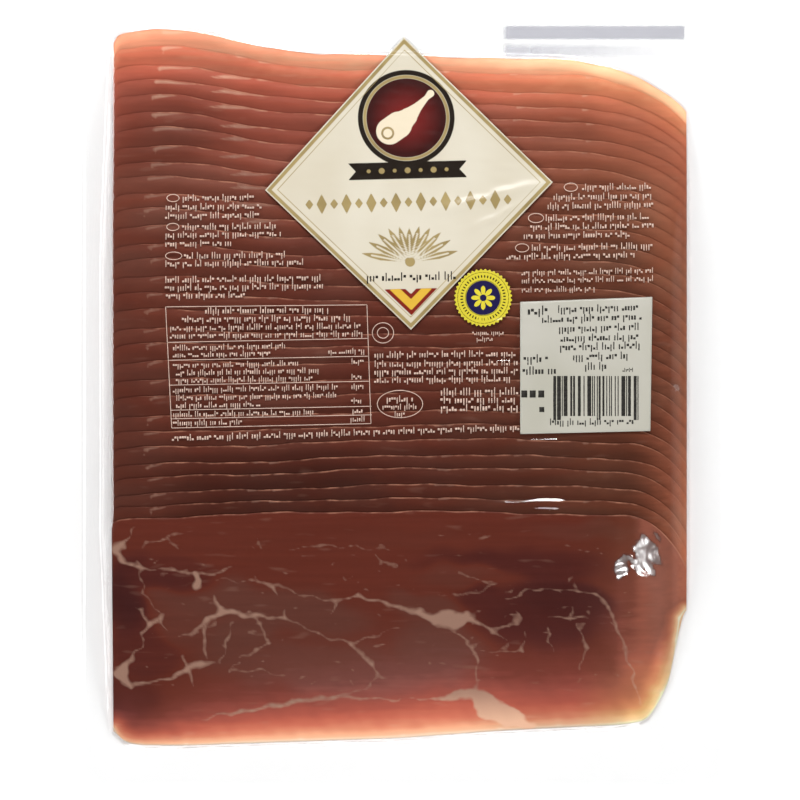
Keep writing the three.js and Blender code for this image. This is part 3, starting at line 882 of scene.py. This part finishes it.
labels = {  # corners in pixels, clockwise from the left, and the rest in mm
    "margin": 0.07, "thickness": 0.1, "hug": 0.15,
    "diamond": [(265, 190), (404, 35), (553, 182), (411, 330)], "diamondCell": 0.5,
    "sticker": [(520, 302), (652, 297), (650, 431), (520, 434)], "stickerCell": 0.9,
}
badge = {  # middle in pixels, counts, sizes in mm, and the colour of the paper's clouds
    "px": 483, "py": 298, "radius": 11.0, "tooth": 0.35, "teeth": 40, "disc": 6.7, "petal": 4.6,
    "ticks": 44, "tickRing": 8.35, "outerRing": 9.95, "innerRing": 6.95, "shade": (204, 190, 58),
}
design = {  # the diamond's motifs in pixels, in a frame of its own about its middle
    "middle": (408, 183), "tilt": 1.5, "medalDown": -66, "bannerDown": -13, "rowDown": 19, "fanDown": 80,
    "medal": 46, "field": 40, "goldRing": 41.7, "dotPitch": 13, "rowPitch": 12.4, "leafTurn": 15.5,
    "ham": [(-17, -53, 27), (-8, -59, 27), (2, -67, 18), (12, -77, 9), (21, -86, 5), (25, -90, 7.5)],
    "bone": (-19, -51, 5.5), "chevronReach": 146, "chevronMiddle": 17, "chevronTop": 106,
}
inks = {
    "paper": (214, 207, 190), "paperShade": (204, 195, 175),
    "gold": (146, 127, 84), "goldLight": (166, 146, 98),
    "red": (118, 36, 34), "deepRed": (56, 22, 20), "black": (34, 27, 21), "cream": (226, 212, 186),
    "stripeRed": (122, 38, 30), "stripeYellow": (214, 172, 62),
    "badgeYellow": (214, 200, 60), "badgeBlue": (33, 29, 70),
    "sticker": (190, 187, 177), "stickerShade": (178, 175, 162), "stickerInk": (44, 42, 38),
    "filmInk": (216, 187, 171),
}


def fourWay(a, b, c, d, s, t):
    # Mix of four corners' values: along s from a to b and from d to c, and along t between the two.
    return (a * (1 - s) + b * s) * (1 - t) + (d * (1 - s) + c * s) * t


def quadGrid(corners, cell):
    # Even grid over a four-cornered sheet: its corners, given clockwise, mixed both ways.
    (x0, x1, x2, x3), (y0, y1, y2, y3) = onPack(*np.array(corners, float).T)
    rows = int(np.hypot(x3 - x0, y3 - y0) / cell) + 1
    columns = int(np.hypot(x1 - x0, y1 - y0) / cell) + 1
    t, s = np.meshgrid(np.linspace(0, 1, rows), np.linspace(0, 1, columns), indexing="ij")
    return fourWay(x0, x1, x2, x3, s, t), fourWay(y0, y1, y2, y3, s, t)


def labelHeight(x, y):
    # Upper face of a label: the film's height with shallower dips, plus a gap and the label.
    return filmHeight(x, y, labels["hug"]) + labels["margin"] + labels["thickness"]


def discDistance(a, b, centreA, centreB, radius):
    # Distance to the centre, less the radius.
    return np.hypot(a - centreA, b - centreB) - radius


def lozengeDistance(a, b, centreA, centreB, halfA, halfB):
    # Four-sided figure standing on a corner: |a| / halfA + |b| / halfB reaches 1 on its sides.
    reach = np.abs(a - centreA) / halfA + np.abs(b - centreB) / halfB
    return (reach - 1) * min(halfA, halfB)


def sideDistance(u, v, corners):
    # Distance in from the nearest side of a sheet whose corners go round clockwise.
    inside = np.full_like(u, 99.0)
    for (u0, v0), (u1, v1) in zip(corners, corners[1:] + corners[:1]):
        length = np.hypot(u1 - u0, v1 - v0)
        inside = np.minimum(inside, ((u1 - u0) * (v - v0) - (v1 - v0) * (u - u0)) / length)
    return inside


def fanDistance(a, b):
    # Eleven leaves that spread from one point, longer to the sides, each with a vein left open.
    leaves, veins = [], []
    for i in range(-5, 6):
        lean, reach = np.radians(design["leafTurn"] * i), 35 + 2.8 * abs(i)
        points = [(reach * share * np.sin(lean), design["fanDown"] - reach * share * np.cos(lean))
                  for share in (0.16, 0.6, 0.8, 1.0)]
        leaves.append([(*point, width) for point, width in zip(points, (1.2, 6.5, 5.0, 0.6))])
        veins.append([(*points[0], 0.5), (*points[2], 0.5)])
    fan = np.minimum(seamDistance(a, b, leaves), discDistance(a, b, 0, design["fanDown"] - 1, 5.0))
    return np.maximum(fan, 0.6 - seamDistance(a, b, veins))


def diamondArt(x, y):
    # Signed distances, in pixels, to each ink of the diamond's design, drawn in its own tilted frame:
    # a runs to the right and b down from the middle.
    u, v = fromPack(x, y)
    turn = np.radians(design["tilt"])
    du, dv = u - design["middle"][0], v - design["middle"][1]
    a, b = du * np.cos(turn) - dv * np.sin(turn), du * np.sin(turn) + dv * np.cos(turn)
    inside = sideDistance(u, v, labels["diamond"])
    medal = np.hypot(a, b - design["medalDown"])
    ham = seamDistance(a, b, [design["ham"]])
    bone = discDistance(a, b, *design["bone"])
    off = np.abs(b - design["bannerDown"])
    banner = np.maximum(off - 8.5, np.abs(a) - 52 - 0.9 * off)
    dots = [discDistance(a, b, design["dotPitch"] * i, design["bannerDown"], 2.0 if i % 2 else 3.0)
            for i in range(-3, 4)]
    row = [lozengeDistance(a, b, design["rowPitch"] * i, design["rowDown"],
                           *((5.2, 10.5) if i % 2 else (4.0, 5.5))) for i in range(-8, 9)]
    rings = [np.abs(inside - 3.0) - 1.7, np.abs(inside - 9.0) - 0.4, np.abs(medal - design["goldRing"]) - 1.5]
    chevron = np.abs((design["chevronReach"] - np.abs(a) - b) * np.sqrt(0.5) - design["chevronMiddle"])
    below = design["chevronTop"] - b
    return {
        "red": medal - design["field"],
        "black": np.minimum(np.abs(medal - design["medal"]) - 2.5, banner),
        "gold": np.min([*rings, *dots, *row, fanDistance(a, b), np.maximum(np.abs(bone) - 0.9, ham)], axis=0),
        "cream": np.maximum(ham, 0.9 - np.abs(bone)),
        "stripeRed": np.maximum(chevron - 7.5, below),
        "stripeYellow": np.maximum(chevron - 3.9, below),
    }


def badgeArt(x, y):
    # Signed distances in millimetres: a blue disc, an eight-petalled rosette in it, two thin rings and
    # short radial ticks round the yellow rim, with a gap on either side of the lowest ones.
    cx, cy = onPack(badge["px"], badge["py"])
    radius, angle = np.hypot(x - cx, y - cy), np.arctan2(y - cy, x - cx)
    petals = radius - badge["petal"] * np.sqrt(np.abs(np.cos(4 * angle)) + 0.02)
    turn = (angle * badge["ticks"] / (2 * np.pi)) % 1.0
    across = (np.abs(turn - 0.5) - 0.2) * 2 * np.pi * badge["tickRing"] / badge["ticks"]
    ticks = np.maximum(np.abs(radius - badge["tickRing"]) - 0.55, across)
    ticks = np.maximum(ticks, 0.6 - np.abs(np.abs(angle + np.pi / 2) * badge["tickRing"] - 1.2))
    rings = [np.abs(radius - badge[ring]) - 0.12 for ring in ("outerRing", "innerRing")]
    return {"badgeBlue": radius - badge["disc"], "black": np.min([*rings, ticks], axis=0),
            "badgeYellow": np.maximum(petals, 1.3 - radius)}


def printedPaper(name, paper, shade, layers, blur):
    # Paper with inks laid over it one by one wherever their signed distance is below zero. Red
    # darkens towards its rim, and gold has lighter clouds.
    material, tree, output = newMaterial(name)
    clouds = objectNoise(tree, 30, 2.0)
    color = mixColor(tree, rangeNode(tree, clouds, 0.3, 0.7, 0, 1), linear(*paper), linear(*shade))
    for ink in layers:
        distance = attributeNode(tree, ink)
        cover = rangeNode(tree, distance, -blur, blur, 1, 0)
        inkColor = linear(*inks[ink])
        if ink == "red":
            depth = rangeNode(tree, distance, -34, -4, 1, 0)
            inkColor = mixColor(tree, depth, linear(*inks["deepRed"]), inkColor)
        if ink == "gold":
            sheen = rangeNode(tree, objectNoise(tree, 90), 0.35, 0.65, 0, 1)
            inkColor = mixColor(tree, sheen, inkColor, linear(*inks["goldLight"]))
        color = mixColor(tree, cover, color, inkColor)
    grain = objectNoise(tree, 700, 2.0)
    finishSurface(tree, output, color, rangeNode(tree, grain, 0.3, 0.7, 0.2, 0.26), 0.3)
    return material


def makeLabel(name, node, grid, art, material, wrap=False):
    # A label over a grid of places on the film, which replaces its plain solid.
    top = labelHeight(*grid)
    attributes = {ink: twice(np.clip(values, -50, 50)) for ink, values in art.items()}
    piece = makePiece(name, [plate(*grid, top, top - labels["thickness"], wrap)], material, attributes)
    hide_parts(node)


diamondPaper = printedPaper("labelPaper", inks["paper"], inks["paperShade"],
                            ["red", "stripeRed", "stripeYellow", "black", "cream", "gold"], 0.35)
diamondGrid = quadGrid(labels["diamond"], labels["diamondCell"])
makeLabel("diamondLabel", "diamond_label", diamondGrid, diamondArt(*diamondGrid),
          diamondPaper)
stickerPaper = printedPaper("stickerPaper", inks["sticker"], inks["stickerShade"], [], 0.3)
stickerGrid = quadGrid(labels["sticker"], labels["stickerCell"])
makeLabel("priceSticker", "price_sticker", stickerGrid, {}, stickerPaper)


def ringGrid():
    # Rings from near the middle out to the toothed rim, with six columns on every tooth.
    cx, cy = onPack(badge["px"], badge["py"])
    angle = np.arange(badge["teeth"] * 6) * 2 * np.pi / (badge["teeth"] * 6)
    tooth = badge["tooth"] * (0.5 - 0.5 * np.cos(badge["teeth"] * angle))
    share = np.linspace(0.002, 1, 46)[:, None]
    rim = badge["radius"] - badge["tooth"] + 2 * tooth * smoothStep(0.85, 1, share)
    return cx + share * rim * np.cos(angle), cy + share * rim * np.sin(angle)


badgePaper = printedPaper("badgePaper", inks["badgeYellow"], badge["shade"],
                          ["badgeBlue", "badgeYellow", "black"], 0.06)
badgeGrid = ringGrid()
makeLabel("roundBadge", "round_badge", badgeGrid, badgeArt(*badgeGrid), badgePaper, True)
print("stage: labels made")


# Print: rows of plain marks, thin closed boxes that follow the film

marks = {
    "thickness": 0.03, "filmLift": 0.015, "paperLift": 0.012, "step": 1.5, "rule": 0.28, "ring": 0.3,
    "pitch": 0.31,  # all below this are shares of a line's size, for six kinds of mark
    "half": (0.18, 0.21, 0.42, 0.42, 0.2, 0.34), "upper": (0.84, 0.56, 0.28, 0.58, 0.56, 0.52),
    "lower": (0.0, 0.0, 0.04, 0.32, -0.2, 0.06),
}


def lineGroup(size, slope, places):
    # Lines of one size and slope, from (left end, right end, height) in pixels.
    return [(left, right, level, size, slope) for left, right, level in places]


filmLines = lineGroup(8, -0.015, [
    (182, 256, 198), (165, 264, 207), (165, 261, 216), (182, 279, 227), (165, 282, 235), (165, 233, 244),
    (184, 287, 256), (165, 305, 264), (165, 323, 280), (165, 326, 288), (166, 250, 296)])
filmLines += lineGroup(8, -0.02, [
    (582, 654, 187), (553, 654, 197), (547, 654, 206), (545, 654, 218), (530, 654, 227), (523, 634, 236),
    (531, 654, 248), (506, 636, 257)])
filmLines += lineGroup(7, -0.02, [(521, 654, 273), (521, 654, 281), (521, 596, 290)])
filmLines += lineGroup(8, -0.012, [(374, 520, 355), (374, 520, 364), (374, 520, 372), (374, 512, 380)])
filmLines += lineGroup(9, -0.012, [(440, 519, 392), (440, 519, 400), (440, 519, 408)])
filmLines += lineGroup(6, -0.01, [(472, 504, 333), (476, 496, 339)])
filmLines += lineGroup(8, -0.0316, [(172, 520, 438)])
filmLines += lineGroup(8, -0.012, [(205, 330, 311), (182, 352, 319.5)])
filmLines += lineGroup(7.5, -0.012, [(170, 362, 328), (170, 364, 336)])
filmLines += lineGroup(7, -0.02, [  # the table's left column, then its right one
    (173, 286, 348), (173, 272, 355), (173, 300, 365.5), (176, 322, 373), (176, 316, 380.5), (173, 340, 390),
    (176, 338, 398), (176, 262, 405.5), (173, 318, 414.5), (173, 244, 423),
    (328, 366, 351.5), (351, 366, 361.5), (351, 366, 377), (351, 366, 386.5), (351, 366, 401),
    (352, 366, 410.5), (350, 366, 419)])
filmLines += lineGroup(8, -0.012, [(386, 415, 399)])
filmLines += lineGroup(7, -0.012, [(382, 419, 407), (394, 406, 414)])
tableRules = [(166, 307, 367, 305), (166, 307, 172, 428), (367, 305, 371, 423.5), (172, 428, 371, 423.5)]
tableRules += [(left, level, left + 200, level - 4) for left, level in (
    (168, 342.5), (169, 360.3), (170, 385.2), (171.5, 410.2), (172, 418.8))]
filmOvals = [  # middle and half sizes in pixels
    (173, 198, 6.5, 4), (173, 227, 6.5, 4), (174, 256, 8.5, 4.2), (571, 187, 7, 4.5), (536, 218, 8, 5),
    (522, 248, 7, 4.5), (383, 333, 11, 10.5), (383, 333, 6, 5.7), (400, 404, 23, 14)]
labelLines = lineGroup(10, -0.026, [(366, 458, 278)])
stickerLines = lineGroup(9, -0.03, [
    (557, 641, 309.5), (541, 642, 319.5), (558, 641, 329), (560, 640, 338.5), (559, 641, 347.5),
    (572, 630, 357), (584, 607, 366.5)])
stickerLines += lineGroup(11, -0.03, [(527, 548, 311)])
stickerLines += lineGroup(10, -0.02, [(523, 548, 359), (522, 559, 371)])
stickerLines += lineGroup(8, -0.01, [(549, 634, 422)])
stickerLines += lineGroup(5, 0, [(622, 634, 370)])
barcode = {  # left end, width, top, height of a row and lower end of the long bars in pixels
    "left": 553, "width": 85, "top": 376, "rowHeight": 5, "rows": 8, "longEnd": 420, "bars": 24, "seed": 5,
}


def lineMarks(line, seed):
    # Marks along one line in a seeded order: tall, short and hanging ticks, low and raised dashes and
    # blocks, with a free place after every third to eighth mark. Returns left, right, upper and lower
    # side of each in pixels.
    left, right, level, size, slope = line
    rng = np.random.default_rng(seed)
    pitch = marks["pitch"] * size
    count = max(1, int((right - left) / pitch))
    place = left + pitch * (np.arange(count) + 0.5)
    kind = rng.integers(0, 6, count)
    free = np.isin(np.arange(count), np.cumsum(rng.integers(4, 10, count)))
    half = np.array(marks["half"])[kind] * pitch
    upper, lower = np.array(marks["upper"])[kind] * size, np.array(marks["lower"])[kind] * size
    base = level + 0.4 * size + slope * (place - left)
    return np.column_stack([place - half, place + half, base - upper, base - lower])[~free]


def markBoxes(boxes, height, lift):
    # One closed box for each mark: its four corners at the height there, and six faces.
    u, v = boxes[:, [0, 1, 1, 0]], boxes[:, [3, 3, 2, 2]]
    x, y = onPack(u, v)
    z = height(x, y) + lift
    low = np.stack([x, y, z], -1)
    points = np.concatenate([low, low + np.array([0, 0, marks["thickness"]])], 1).reshape(-1, 3)
    faces = np.array([(3, 2, 1, 0), (4, 5, 6, 7), (0, 1, 5, 4), (1, 2, 6, 5), (2, 3, 7, 6), (3, 0, 4, 7)])
    return points, (faces[None] + 8 * np.arange(len(boxes))[:, None, None]).reshape(-1, 4)


def printedPlate(x, y, wrap=False):
    # Thin plate of ink that lies on the film.
    top = filmHeight(x, y) + marks["filmLift"] + marks["thickness"]
    return plate(x, y, top, top - marks["thickness"], wrap)


def ruleStrip(rule):
    # Thin line between two pixel places, two points wide, with a row about every 1.5 mm.
    (x0, x1), (y0, y1) = onPack([rule[0], rule[2]], [rule[1], rule[3]])
    length = np.hypot(x1 - x0, y1 - y0)
    t = np.linspace(0, 1, int(length / marks["step"]) + 2)[:, None]
    side = np.array([-0.5, 0.5]) * marks["rule"]
    return printedPlate(x0 + (x1 - x0) * t - (y1 - y0) / length * side,
                        y0 + (y1 - y0) * t + (x1 - x0) / length * side)


def ovalRing(oval):
    # Thin closed ring: two ellipses a line's width apart.
    cx, cy = onPack(oval[0], oval[1])
    rx, ry = oval[2] * photo["mmPerPixel"], oval[3] * photo["mmPerPixel"]
    angle = np.linspace(0, 2 * np.pi, 48, endpoint=False)
    inset = np.array([[0.0], [marks["ring"]]])
    return printedPlate(cx + (rx - inset) * np.cos(angle), cy + (ry - inset) * np.sin(angle), True)


def barcodeBoxes():
    # Bars and gaps of seeded widths, each bar cut into rows so that it follows the sticker, and six
    # longer bars: two at either end and two in the middle.
    rng = np.random.default_rng(barcode["seed"])
    barWidths = rng.choice([1, 1, 2, 3, 4], barcode["bars"])
    gapWidths = rng.choice([1, 1, 2, 3], barcode["bars"])
    modules = np.column_stack([barWidths, gapWidths]).ravel()
    sides = np.concatenate([[0], np.cumsum(modules)[:-1]]) / np.sum(modules[:-1])
    bars = (barcode["left"] + barcode["width"] * sides).reshape(-1, 2)
    rowTops = barcode["top"] + barcode["rowHeight"] * np.arange(barcode["rows"] + 1)
    boxes = [(*bar, top, top + barcode["rowHeight"]) for bar in bars for top in rowTops[:-1]]
    boxes += [(*bar, rowTops[-1], barcode["longEnd"]) for bar in bars[[0, 1, 11, 12, -2, -1]]]
    return np.array(boxes)


def plainInk(name, color):
    # Ink whose light wavers between its full colour and four fifths of it.
    material, tree, output = newMaterial(name)
    weak = tuple(0.8 * c for c in linear(*color)[:3]) + (1.0,)
    clouds = rangeNode(tree, objectNoise(tree, 260, 2.0), 0.35, 0.65, 0, 1)
    finishSurface(tree, output, mixColor(tree, clouds, weak, linear(*color)), 0.5, 0.2)
    return material


def rowsOfMarks(lines, firstSeed):
    # The marks of several lines, each with a seed of its own.
    return [lineMarks(line, firstSeed + i) for i, line in enumerate(lines)]


filmParts = [markBoxes(np.vstack(rowsOfMarks(filmLines, 100)), filmHeight, marks["filmLift"])]
filmParts += [ruleStrip(rule) for rule in tableRules]
filmParts += [ovalRing(oval) for oval in filmOvals]
makePiece("filmPrint", filmParts, plainInk("filmInk", inks["filmInk"]), smooth=False)
squares = np.array([(521 + 8.5 * i, 527 + 8.5 * i, 390.5, 397.5) for i in range(3)] + [(539, 544, 407, 412)])
stickerMarks = np.vstack(rowsOfMarks(stickerLines, 300) + [barcodeBoxes(), squares])
makePiece("stickerPrint", [markBoxes(stickerMarks, labelHeight, marks["paperLift"])],
          plainInk("stickerInk", inks["stickerInk"]), smooth=False)
labelMarks = np.vstack(rowsOfMarks(labelLines, 400))
makePiece("labelPrint", [markBoxes(labelMarks, labelHeight, marks["paperLift"])],
          plainInk("labelInk", inks["black"]), smooth=False)
print("stage: print made")


# Floor, light and camera

studio = {
    "floor": (250, 250, 250), "floorShade": (248, 248, 248), "worldLow": 0.25, "worldHigh": 0.02,
    "lens": 200.0, "sensor": 36.0, "scaleHeight": 0.010,  # a photo pixel has its length at this height
    "lights": [  # name, azimuth from +Y turning to +X, elevation, distance in m, width, height, watts
        ("topLight", 0, 42, 1.1, 0.60, 0.26, 8.6),
        ("leftLight", -80, 30, 1.2, 0.9, 0.4, 7.7),
        ("rightLight", 85, 28, 1.2, 0.9, 0.4, 7.7),
        ("lowLight", 180, 34, 1.2, 0.9, 0.4, 8.1),
    ],
    "notMirrored": ("rightLight",),  # the film's long slope on the right would mirror it as one white strip
}


def makeFloor():
    # A large pale plane just under the pack.
    bpy.ops.mesh.primitive_plane_add(size=6, location=(0, 0, -0.0002))
    floor = bpy.context.object
    floor.name = "floor"
    material, tree, output = newMaterial("paleFloor")
    stops = [(0.3, linear(*studio["floorShade"])), (0.7, linear(*studio["floor"]))]
    finishSurface(tree, output, rampNode(tree, objectNoise(tree, 3), stops), 0.8, 0.1)
    floor.data.materials.append(material)


def makeLights():
    # Area lights on a dome round the pack, each turned towards its middle.
    for name, azimuth, elevation, distance, width, height, watts in studio["lights"]:
        data = bpy.data.lights.new(name, "AREA")
        data.shape, data.size, data.size_y, data.energy = "RECTANGLE", width, height, watts
        lamp = bpy.data.objects.new(name, data)
        turn, rise = np.radians(azimuth), np.radians(elevation)
        place = Vector((np.sin(turn) * np.cos(rise), np.cos(turn) * np.cos(rise), np.sin(rise))) * distance
        lamp.location = place
        lamp.rotation_euler = place.to_track_quat("Z", "Y").to_euler()
        lamp.visible_glossy = name not in studio["notMirrored"]
        bpy.context.scene.collection.objects.link(lamp)


def makeWorld():
    # Soft grey dome that is darker overhead, so that the flat film mirrors little into the camera.
    world = bpy.data.worlds.new("studioDome")
    bpy.context.scene.world = world
    world.use_nodes = True
    tree = world.node_tree
    background = tree.nodes["Background"]
    direction = tree.nodes.new("ShaderNodeTexCoord")
    split = tree.nodes.new("ShaderNodeSeparateXYZ")
    tree.links.new(direction.outputs["Generated"], split.inputs[0])
    strength = rangeNode(tree, split.outputs["Z"], 0.1, 0.35, studio["worldLow"], studio["worldHigh"])
    tree.links.new(strength, background.inputs["Strength"])
    background.inputs["Color"].default_value = (1, 1, 1, 1)


def makeCamera():
    # Straight above, at the height where the photo's width covers its length on the pack.
    data = bpy.data.cameras.new("camera")
    data.lens, data.sensor_width = studio["lens"], studio["sensor"]
    camera = bpy.data.objects.new("camera", data)
    covered = photo["side"] * photo["mmPerPixel"] * mm
    middleX, middleY = onPack(photo["side"] / 2, photo["side"] / 2)
    height = covered * studio["lens"] / studio["sensor"]
    camera.location = (float(middleX) * mm, float(middleY) * mm, height + studio["scaleHeight"])
    bpy.context.scene.collection.objects.link(camera)
    bpy.context.scene.camera = camera


makeFloor()
makeLights()
makeWorld()
makeCamera()
bpy.context.scene.view_settings.view_transform = "Standard"
print("stage: floor, light and camera made")
